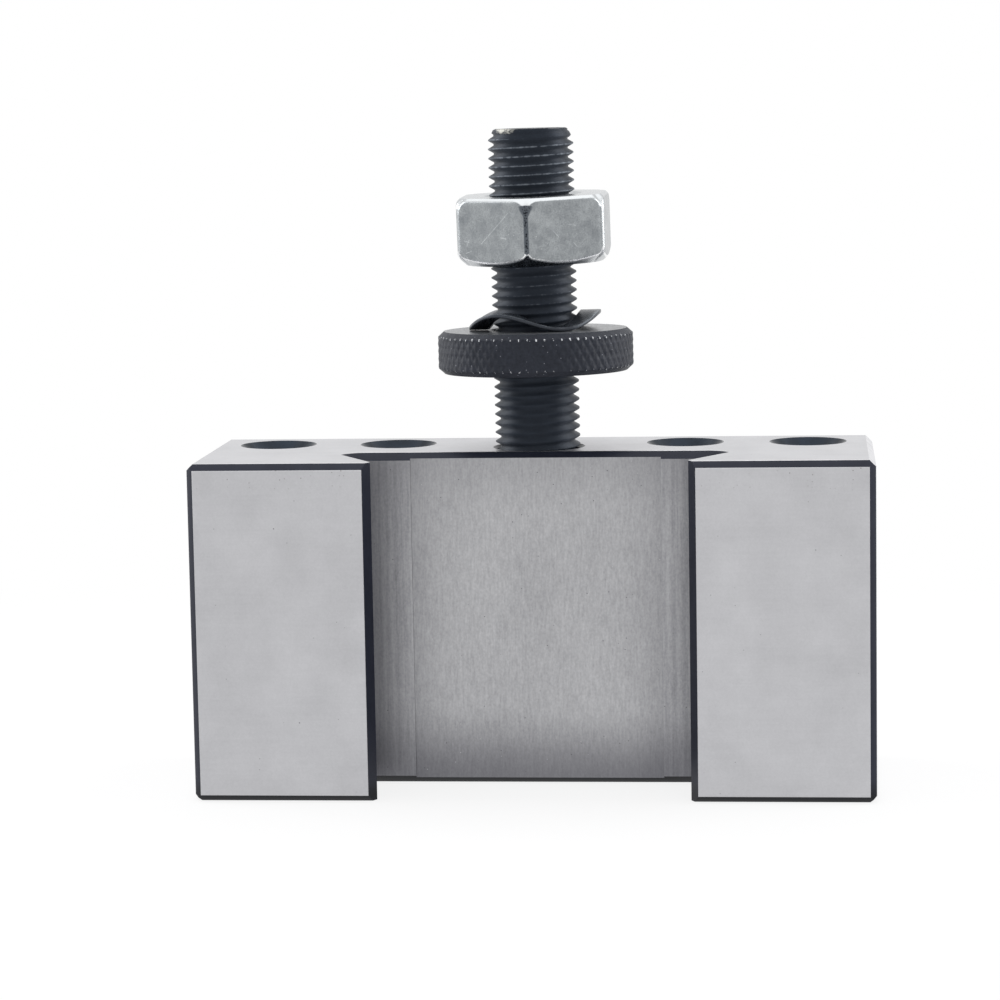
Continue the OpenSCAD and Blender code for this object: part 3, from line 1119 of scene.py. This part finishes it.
@dataclass
class HeightWheel:
    """Knurled round nut that rests on the tool post and sets the holder's height."""

    node: str = "height_wheel"
    diameter: float = 32.2
    chamfer: float = 1.0
    chamfer_height: float = 0.9
    bore: float = 7.25
    bore_chamfer: float = 0.5
    knurls: int = 72
    knurl_depth: float = 0.15
    # Helix angle of the knurl
    knurl_angle: float = 30.0
    # Depth of the grooves that climb to the right, against those that climb to the left
    weaker: float = 0.8
    # How much deeper or shallower the knurl gets from place to place, in patches round the rim
    uneven: float = 0.25
    patches: tuple[int, int] = (7, 11)
    # How bright the painted glints are on the points of the diamonds, and on the ends of the ridges above
    # and below
    point_shine: float = 0.45
    upper_shine: float = 1.2
    lower_shine: float = 0.85
    # How narrow a bright point and a bright ridge are, against the depth of the knurl
    point_narrow: float = 2.2
    ridge_narrow: float = 4.5
    # How near to a chamfer a ridge is bright, and how deep in the chamfer
    end_reach: float = 0.32
    end_depth: float = 0.3
    # Over 1, so that the middle of a bright ridge is evenly bright
    plateau: float = 1.4
    # How far the dressed wheel reaches past the solid, whose ends keep clear of their neighbours
    over: float = 0.3
    under: float = 0.1
    slack: Slack = Slack(nod_deg=-0.9)
    # Grid lines across one diamond, and rings up the side
    cells: int = 10
    rings: int = 49
    sharp_deg: float = 28.0

    def knurl(self, height: Array, columns: int) -> Array:
        """Radius of the knurled side.

        Args:
            height: heights above the lower edge of the knurl, one for each ring.
            columns: number of directions.

        Returns:
            Radii in mm, rings by columns.
        """
        width = math.pi * self.diameter / self.knurls
        rise = width / math.tan(math.radians(self.knurl_angle))
        turned = np.arange(columns)[None, :] * self.knurls / columns
        slid = height[:, None] / rise
        right, left = (np.abs((turned + side * slid) % 1 - 0.5) * 2 for side in (-1, 1))
        around = np.arange(columns)[None, :] * TURN / columns
        few, many = self.patches
        swell = np.sin(few * around + height[:, None]) * np.sin(many * around - 2 * height[:, None])
        depth = self.knurl_depth * (1 + self.uneven * swell)
        return self.diameter / 2 - depth * np.maximum(self.weaker * right, left)

    def shine(self, side: Array, cone: Array) -> Array:
        """How far the knurl is painted bright, as painted glints on partly rubbed metal: at the ends of its
        ridges, and less on its points.

        Args:
            side: radius of the knurled side, rings by columns.
            cone: radius of the chamfers, one for each ring.

        Returns:
            Shares from 0, where anything over 1 is fully bright.
        """
        below_tip = (self.diameter / 2 - side) / self.knurl_depth
        below_ridge = (side.max(1, keepdims=True) - side) / self.knurl_depth
        point = np.clip(1 - below_tip * self.point_narrow, 0, 1)
        ridge = np.clip(self.plateau - below_ridge * self.ridge_narrow, 0, 1)
        end = np.clip(self.plateau - np.abs(cone - side) / self.end_reach, 0, 1)
        upper = np.arange(self.rings)[:, None] > self.rings // 2
        ends = ridge * end * np.where(upper, self.upper_shine, self.lower_shine)
        return np.maximum(point * self.point_shine, ends) * (cone > side - self.end_depth)

    def build(self) -> bpy.types.Object:
        """Makes the wheel.

        Returns:
            The dressed piece.
        """
        low, high = span_of(self.node)
        low, high = low - self.under, high + self.over
        columns = self.knurls * self.cells
        height = np.linspace(low, high, self.rings)
        side = self.knurl(height - low, columns)
        face = self.diameter / 2 - self.chamfer
        slope = self.chamfer_height / self.chamfer
        cone = face + np.minimum(height - low, high - height)[:, None] / slope
        # The flat ends stop just inside the chamfers, and run to the mouth of the bore
        outer, mouth = face - 0.05, self.bore + self.bore_chamfer
        bottom = [(self.bore, low + self.bore_chamfer), (mouth, low), (outer, low)]
        top = [(outer, high), (mouth, high), (self.bore, high - self.bore_chamfer)]
        rings = plain_rings(list(zip(np.minimum(side, cone), height)), columns)
        rings.masks = {Mask.TIP: self.shine(side, cone), Mask.TURNED: np.zeros(side.shape)}
        shell = Shell("knurled_height_wheel", centre_of(self.node))
        shell.add(rings.capped(bottom, top + bottom[:1], Mask.TURNED))
        piece = shell.build(self.sharp_deg)
        turned = [mark.value > 0.5 for mark in piece.data.attributes[Mask.TURNED.value].data]
        for polygon in piece.data.polygons:
            polygon.material_index = int(all(turned[point] for point in polygon.vertices))
        piece.data.transform(self.slack.matrix(centre_of(self.node)))
        settle(piece, self.node, "wheel", "black_oxide_steel", OXIDE_KNURL, OXIDE_TURNED)
        return piece


@dataclass
class WaveWasher:
    """Spring washer: a thin strip in a ring with three waves and rolled edges."""

    node: str = "spring_washer"
    inner: float = 7.5
    width: float = 3.4
    thickness: float = 0.6
    edge_round: float = 0.15
    waves: int = 3
    columns: int = 180
    edge_steps: int = 4
    sharp_deg: float = 40.0
    slack: Slack = Slack(nod_deg=-0.9, shift=(0.0, 0.0, 0.12))

    def outline(self) -> list[tuple[float, float, float]]:
        """Section of the strip, once round its four rounded corners.

        Returns:
            Radius, height above the middle of the strip, and how far it is rubbed, of each point.
        """
        inner, outer = self.inner + self.edge_round, self.inner + self.width - self.edge_round
        half = self.thickness / 2 - self.edge_round
        corners = ((inner, -half), (outer, -half), (outer, half), (inner, half))
        made = []
        for number, (across, up) in enumerate(corners):
            for step in range(self.edge_steps + 1):
                turn = TURN / 2 + (number + step / self.edge_steps) * TURN / 4
                # The upper half of the upper outer corner is the one that shows, and it gets the painted
                # highlight
                wear_and_sheen = float(number == 2 and step >= self.edge_steps / 2)
                place = (across + self.edge_round * math.cos(turn), up + self.edge_round * math.sin(turn))
                made.append((*place, wear_and_sheen))
        return made + made[:1]

    def build(self) -> bpy.types.Object:
        """Makes the washer.

        Returns:
            The dressed piece.
        """
        low, high = span_of(self.node)
        lift = (high - low - self.thickness) / 2
        angle = np.arange(self.columns) * TURN / self.columns
        middle = low + self.thickness / 2 + lift * (1 + np.cos(self.waves * angle))
        across, up, wear_and_sheen = (
            np.repeat(np.array(column)[:, None], self.columns, 1) for column in zip(*self.outline())
        )
        shell = Shell("wave_washer", centre_of(self.node))
        shell.add(Rings(across, middle + up, masks={Mask.EDGE: wear_and_sheen}))
        piece = shell.build(self.sharp_deg)
        # It lies on the wheel and tips with it
        piece.data.transform(self.slack.matrix(centre_of("height_wheel")))
        settle(piece, self.node, "washer", "spring_steel", BLUED_SPRING)
        return piece


@dataclass
class LockNut:
    """Cold-formed hexagon nut: each face is a flat with round corners that falls away at its rim."""

    node: str = "lock_nut"
    across_flats: float = 24.15
    corner: float = 0.6
    turn_deg: float = -0.8
    bore: float = 7.55
    flare: float = 0.45
    # How far inside the flats the end faces stop
    end_margin: float = 1.2
    # The flat part of a face: half its width, the rim above it, and the radius of its corners
    face_half: float = 6.65
    rim_height: float = 0.5
    face_round: float = 1.9
    # The lower end is turned to a shallow cone, so the flats end there in arcs with small corners
    foot_round: float = 0.9
    foot_rim: float = 0.7
    foot_cone_deg: float = 30.0
    # How steeply a face falls away past its rim, and how softly the rim is rounded
    fall: float = 1.05
    softness: float = 0.15
    # The nut sits loose on its thread
    slack: Slack = Slack(tip_deg=0.6, nod_deg=1.3, shift=(0.25, 0.0, 0.25))
    # Scratches: number of the face left or right of the front corner, then from and to across and up
    scratches: tuple[tuple[float, ...], ...] = (
        (-1, -1.95, -1.7, 3.55, 3.25),
        (-1, -5.4, -1.3, -4.4, -1.5),
        (-1, -5.1, -3.3, -4.0, -2.9),
        (-1, -4.9, -2.1, -4.5, -1.2),
        (-1, 1.9, -0.7, 3.0, -0.9),
        (1, -2.2, 0.2, -1.2, -0.9),
        (1, 0.6, 1.0, 1.9, 0.8),
        (1, 1.4, -1.9, 2.0, -2.6),
    )
    scratch_colour: str = "#cdd1d3"
    scratch_width: float = 0.17
    # Width over which the rim's painted highlight comes on, and where past the rim the foot's painted
    # highlight is brightest
    rim_width: float = 0.25
    arc_past: float = 0.14
    # How much the right end face is painted brighter, as a painted reflection
    wear_and_sheen: float = 0.5
    # Painted shade in the front corner: half its width, how much wider it gets at the top, and its ends'
    # distances from the top and the foot of the nut
    painted_shade_half: float = 0.44
    painted_shade_wider: float = 0.9
    painted_shade_ends: tuple[float, float] = (0.9, 1.9)
    # Painted shade under the front rim: how far past the rim and how far up from the foot it lies, and the
    # distance round the nut from the front corner at which it is gone
    rim_shade_past: float = 0.3
    rim_shade_height: float = 2.0
    rim_shade_reach: float = 12.8
    # Columns round the nut, and rings near each end and along the middle
    columns: int = 360
    end_rings: int = 20
    middle_rings: int = 8
    end_zone: float = 3.2
    sharp_deg: float = 30.0

    def turned(self, start: float = 0.0) -> Array:
        """Angle of each column from a direction of the nut, at most half a turn either way."""
        angle = np.arange(self.columns) * TURN / self.columns - math.radians(self.turn_deg) - start
        return (angle + TURN / 2) % TURN - TURN / 2

    def angles(self) -> Array:
        """Direction of each column from the middle of the nearest face."""
        return (self.turned() + TURN / 12) % (TURN / 6) - TURN / 12

    def front(self) -> Array:
        """Distance round the nut from its front corner in each direction."""
        return np.abs(self.turned(-TURN / 4)) * self.across_flats / 2

    def hexagon(self) -> Array:
        """Radius of the hexagon with rounded corners.

        Returns:
            Radii in mm, one for each direction.
        """
        off_flat = self.angles()
        reach = (self.across_flats / 2 - self.corner) / math.cos(TURN / 12)
        to_corner = TURN / 12 - np.abs(off_flat)
        inside = np.clip(self.corner**2 - (reach * np.sin(to_corner)) ** 2, 0, None)
        rounded = reach * np.cos(to_corner) + np.sqrt(inside)
        flat = self.across_flats / 2 / np.cos(off_flat)
        return np.minimum(flat, np.where(inside > 0, rounded, flat))

    def past_rim(self, up: float, half_height: float) -> Array:
        """Distance past the rim of the nearest face's flat, less than 0 inside it.

        Args:
            up: height above the middle of the nut.
            half_height: half the height of the nut.

        Returns:
            Distances in mm, one for each direction.
        """
        flat = self.across_flats / 2
        across = np.abs(flat * np.tan(self.angles()))
        corner, rim = (self.foot_round, self.foot_rim) if up < 0 else (self.face_round, self.rim_height)
        if up < 0:
            rim = rim + (np.hypot(across, flat) - flat) * math.tan(math.radians(self.foot_cone_deg))
        x = across - self.face_half + corner
        y = abs(up) - half_height + rim + corner
        outside = np.hypot(np.maximum(x, 0), np.maximum(y, 0))
        return outside + np.minimum(np.maximum(x, y), 0) - corner

    def grime(self, up: float, half_height: float) -> Array:
        """How much painted shade the nut gets: along its front corner, and under its front rim.

        Args:
            up: height above the middle of the nut.
            half_height: half the height of the nut.

        Returns:
            Shares from 0 to 1, one for each direction.
        """
        below_top, above_foot = half_height - up, half_height + up
        front = self.front()
        high_end, low_end = self.painted_shade_ends
        width = self.painted_shade_half + self.painted_shade_wider * ramp(below_top, 2.9, -1.6)
        # Each fades out over the length that is the last number here
        strip = np.clip(1.25 - front / width, 0, 1) * ramp(below_top, high_end, 0.3)
        strip = strip * ramp(above_foot, low_end, 0.4)
        under = ramp(self.past_rim(up, half_height), self.rim_shade_past, 0.12)
        under = under * ramp(above_foot, self.rim_shade_height, -0.2)
        return np.maximum(strip, under * ramp(front, self.rim_shade_reach, -8.0))

    def on_face(self, face: float, across: float, up: float) -> Vector:
        """Place on a face beside the front corner.

        Args:
            face: -1 for the face to the left of the corner, 1 for the one to the right.
            across: distance to the right of the middle of the face.
            up: distance above it.

        Returns:
            The place in metres.
        """
        turn = math.radians(self.turn_deg) - TURN / 4 + face * TURN / 12
        out = Vector((math.cos(turn), math.sin(turn), 0)) * self.across_flats / 2
        place = out + Vector((-math.sin(turn), math.cos(turn), 0)) * across + Vector((0, 0, up))
        centre = centre_of(self.node)
        return self.slack.matrix(centre) @ (centre + place * MM)

    def finish(self) -> Finish:
        """The plating, with the nut's own scratches.

        Returns:
            The finish.
        """
        lines = []
        for face, *places in self.scratches:
            start, end = self.on_face(face, *places[:2]), self.on_face(face, *places[2:])
            lines.append(Scratch(self.scratch_colour, start, end, self.scratch_width))
        return replace(ZINC_PLATE, covers=(*lines, *ZINC_PLATE.covers))

    def side(self, middle: float, half: float) -> Rings:
        """The six faces and their corners, from one end to the other.

        Args:
            middle: height of the middle of the nut.
            half: half the height of the nut.

        Returns:
            The rings, with the masks of the rims, the foot's arcs and the painted shade.
        """
        ends = half - self.end_zone * np.linspace(0, 1, self.end_rings) ** 1.3
        between = np.linspace(-ends[-1], ends[-1], self.middle_rings)[1:-1]
        off_flat, hexagon = self.angles(), self.hexagon()
        rows: list[tuple[Array, float]] = []
        masks: dict[Mask, list[Array]] = {Mask.RIM: [], Mask.FOOT: [], Mask.GRIME: []}
        # The face at the right end is painted paler than the two in front, as a painted reflection
        right_end = np.abs(self.turned()) < TURN / 12
        for up in np.concatenate([-ends, between, ends[::-1]]):
            past = self.past_rim(up, half)
            drop = self.fall * (past + np.hypot(past, self.softness)) / 2
            face = (self.across_flats / 2 - drop) / np.cos(off_flat)
            rows.append((np.minimum(hexagon, face), middle + up))
            rim = ramp(past, -self.rim_width / 2, self.rim_width)
            masks[Mask.RIM].append(np.maximum(rim, self.wear_and_sheen * right_end))
            # Painted highlight, brightest along the arcs of the lower end
            arc = np.clip(1.5 - np.abs(past / self.arc_past - 1), 0, 1)
            masks[Mask.FOOT].append(arc * (up < -half / 2))
            masks[Mask.GRIME].append(self.grime(up, half))
        rings = plain_rings(rows, self.columns)
        rings.masks = {mask: np.array(values) for mask, values in masks.items()}
        return rings

    def build(self) -> bpy.types.Object:
        """Makes the nut.

        Returns:
            The dressed piece.
        """
        low, high = span_of(self.node)
        side = self.side((low + high) / 2, (high - low) / 2)
        mouth = self.bore + self.flare
        inner = self.across_flats / 2 - self.end_margin
        bottom = [(self.bore, low + self.flare), (mouth, low), (inner, low)]
        top = [(inner, high), (mouth, high), (self.bore, high - self.flare)]
        shell = Shell("hex_lock_nut", centre_of(self.node))
        shell.add(side.capped(bottom, top + bottom[:1], Mask.RIM))
        piece = shell.build(self.sharp_deg)
        piece.data.transform(self.slack.matrix(centre_of(self.node)))
        settle(piece, self.node, "nut", "zinc_plated_steel", self.finish())
        return piece


@dataclass
class ClampScrew:
    """M10 x 1.5 socket set screw with a flat point."""

    number: int
    thread: Thread = Thread(10.0, 1.5)
    end_radius: float = 4.0
    socket_flats: float = 5.0
    socket_depth: float = 5.0
    socket_chamfer: float = 0.35
    # How much wider the mouth is than the socket's corners, and the depth of its drilled point
    mouth_gap: float = 0.1
    drill_point: float = 0.6

    def hexagon(self) -> Array:
        """Radius of the socket's hexagon.

        Returns:
            Radii in mm, one for each direction.
        """
        angle = np.arange(self.thread.columns) * TURN / self.thread.columns
        off_flat = (angle + TURN / 12) % (TURN / 6) - TURN / 12
        return self.socket_flats / 2 / np.cos(off_flat)

    def build(self) -> bpy.types.Object:
        """Makes the screw.

        Returns:
            The dressed piece.
        """
        node = f"clamp_screw_{self.number}"
        low, high = span_of(node)
        mouth = self.socket_flats / 2 / math.cos(TURN / 12) + self.mouth_gap
        floor = high - self.socket_depth
        socket = [
            (mouth, high),
            (self.hexagon(), high - self.socket_chamfer),
            (self.hexagon(), floor),
            (0.0, floor - self.drill_point),
        ]
        shell = Shell(f"socket_set_screw_{self.number}", centre_of(node))
        shell.add(self.thread.rod(low, high, self.end_radius, self.end_radius, mouth))
        shell.add(plain_rings(socket, self.thread.columns))
        piece = shell.build()
        settle(piece, node, f"screw_{self.number}", "black_alloy_steel", OXIDE_SCREW)
        return piece


@dataclass
class Softbox:
    """A soft square lamp that points at the object; its place and side are in metres."""

    name: str
    place: tuple[float, float, float]
    side: float
    watts: float
    target: tuple[float, float, float] = (0.0, 0.0, 0.05)

    def build(self) -> bpy.types.Object:
        """Hangs the lamp.

        Returns:
            The lamp's object.
        """
        lamp = bpy.data.lights.new(self.name, "AREA")
        lamp.shape = "SQUARE"
        lamp.size = self.side
        lamp.energy = self.watts
        made = bpy.data.objects.new(self.name, lamp)
        made.location = self.place
        aim = Vector(self.target) - Vector(self.place)
        made.rotation_euler = aim.to_track_quat("-Z", "Y").to_euler()
        bpy.context.scene.collection.objects.link(made)
        return made


@dataclass
class Studio:
    """Pale floor, white surround, soft lamps and the camera of the product picture."""

    # The camera, fitted to the edges of the block in the picture; its angles are in radians
    camera_mm: tuple[float, float, float] = (44.74, -534.43, 114.89)
    yaw: float = 0.0951
    pitch: float = -0.1265
    roll: float = 0.0173
    lens_mm: float = 118.33
    sensor_mm: float = 36.0
    # In metres: what the camera sees from and to, and half the side of the floor
    clip: tuple[float, float] = (0.01, 20.0)
    floor_half: float = 3.0
    floor_colour: str = "#f4f4f5"
    floor_roughness: float = 0.9
    # Distances from the block at which the shadow starts to fade, and is gone
    fade_mm: tuple[float, float] = (60.0, 220.0)
    # The block is long in X, so distance counts for less that way
    squeeze: tuple[float, float, float] = (0.6, 1.0, 1.0)
    # How much of the shadow shows next to the block
    shadow: float = 0.18
    # Light from the surround, beside the lamps
    surround: float = 0.6
    # One lamp above and one at each side
    boxes: tuple[Softbox, ...] = (
        Softbox("top_softbox", (0.0, 0.05, 1.1), 1.7, 7.5),
        Softbox("left_softbox", (-0.85, 0.15, 0.35), 0.6, 4.5),
        Softbox("right_softbox", (0.85, 0.15, 0.35), 0.6, 4.5),
    )

    def plain_white(self, tree: Tree) -> Socket:
        """Tells where plain white is seen: by the camera, in reflections and through glass.

        Args:
            tree: node tree of the floor or the surround.

        Returns:
            1 for those rays and 0 for the ones that carry light.
        """
        ray = add_node(tree, "ShaderNodeLightPath")
        seen = ray.outputs["Is Camera Ray"]
        for other in ("Is Glossy Ray", "Is Transmission Ray"):
            inputs = {0: seen, 1: ray.outputs[other]}
            seen = add_node(tree, "ShaderNodeMath", inputs, operation="MAXIMUM").outputs[0]
        return seen

    def card(self) -> bpy.types.Material:
        """Makes the white card, which shows the shadow faintly and only near the block.

        Returns:
            The material.
        """
        made = bpy.data.materials.new("matt_white_card")
        made.use_nodes = True
        tree = made.node_tree
        shader = tree.nodes["Principled BSDF"]
        shader.inputs["Base Color"].default_value = linear(self.floor_colour)
        shader.inputs["Roughness"].default_value = self.floor_roughness
        shader.inputs["Specular IOR Level"].default_value = 0.0
        place = add_node(tree, "ShaderNodeTexCoord").outputs["Object"]
        squeezed = add_node(tree, "ShaderNodeVectorMath", {0: place, 1: self.squeeze}, operation="MULTIPLY")
        away = add_node(tree, "ShaderNodeVectorMath", {0: squeezed}, operation="LENGTH").outputs["Value"]
        start, end = (distance * MM for distance in self.fade_mm)
        inputs = {0: away, 1: start, 2: end, 3: 1 - self.shadow, 4: 1.0}
        fade = add_node(tree, "ShaderNodeMapRange", inputs, interpolation_type="SMOOTHSTEP")
        inputs = {0: fade, 1: self.plain_white(tree)}
        share = add_node(tree, "ShaderNodeMath", inputs, operation="MULTIPLY")
        white = add_node(tree, "ShaderNodeEmission", {"Color": linear(WHITE_HEX), "Strength": 1.0})
        mixed = add_node(tree, "ShaderNodeMixShader", {0: share, 1: shader, 2: white})
        tree.links.new(mixed.outputs[0], tree.nodes["Material Output"].inputs["Surface"])
        return made

    def floor(self) -> None:
        """Lays the card under the block."""
        half = self.floor_half
        mesh = bpy.data.meshes.new("floor")
        corners = [(-half, -half, 0), (half, -half, 0), (half, half, 0), (-half, half, 0)]
        mesh.from_pydata(corners, [], [(0, 1, 2, 3)])
        mesh.materials.append(self.card())
        made = bpy.data.objects.new("floor", mesh)
        bpy.context.scene.collection.objects.link(made)

    def world(self) -> None:
        """Sets a surround that shows white and lights the object more gently."""
        world = bpy.data.worlds.new("white_surround")
        bpy.context.scene.world = world
        world.use_nodes = True
        tree = world.node_tree
        tree.nodes.clear()
        light, white = (
            add_node(tree, "ShaderNodeBackground", {"Color": linear(WHITE_HEX), "Strength": strength})
            for strength in (self.surround, 1.0)
        )
        mixed = add_node(tree, "ShaderNodeMixShader", {0: self.plain_white(tree), 1: light, 2: white})
        add_node(tree, "ShaderNodeOutputWorld", {"Surface": mixed})

    def camera(self) -> None:
        """Sets the camera where the picture was taken from."""
        lens = bpy.data.cameras.new("camera")
        lens.lens = self.lens_mm
        lens.sensor_width = self.sensor_mm
        lens.clip_start, lens.clip_end = self.clip
        made = bpy.data.objects.new("camera", lens)
        turn = Matrix.Rotation(self.yaw, 4, "Z") @ Matrix.Rotation(self.pitch, 4, "X")
        turn = turn @ Matrix.Rotation(self.roll, 4, "Y") @ Matrix.Rotation(TURN / 4, 4, "X")
        made.matrix_world = Matrix.Translation(Vector(self.camera_mm) * MM) @ turn
        bpy.context.scene.collection.objects.link(made)
        bpy.context.scene.camera = made

    def build(self) -> None:
        """Sets up the whole studio."""
        bpy.context.scene.view_settings.view_transform = "Standard"
        self.camera()
        self.floor()
        self.world()
        for box in self.boxes:
            box.build()
        LOG.info("studio: floor, surround, %d lamps and camera", len(self.boxes))


def main() -> None:
    """Builds the studio and every piece of the tool holder, in order."""
    logging.basicConfig(level=logging.INFO, format="%(name)s: %(message)s")
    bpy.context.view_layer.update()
    Studio().build()
    HolderBlock().build()
    HeightStud().build()
    HeightWheel().build()
    WaveWasher().build()
    LockNut().build()
    for number in SCREWS:
        ClampScrew(number).build()


if __name__ == "__main__":
    main()
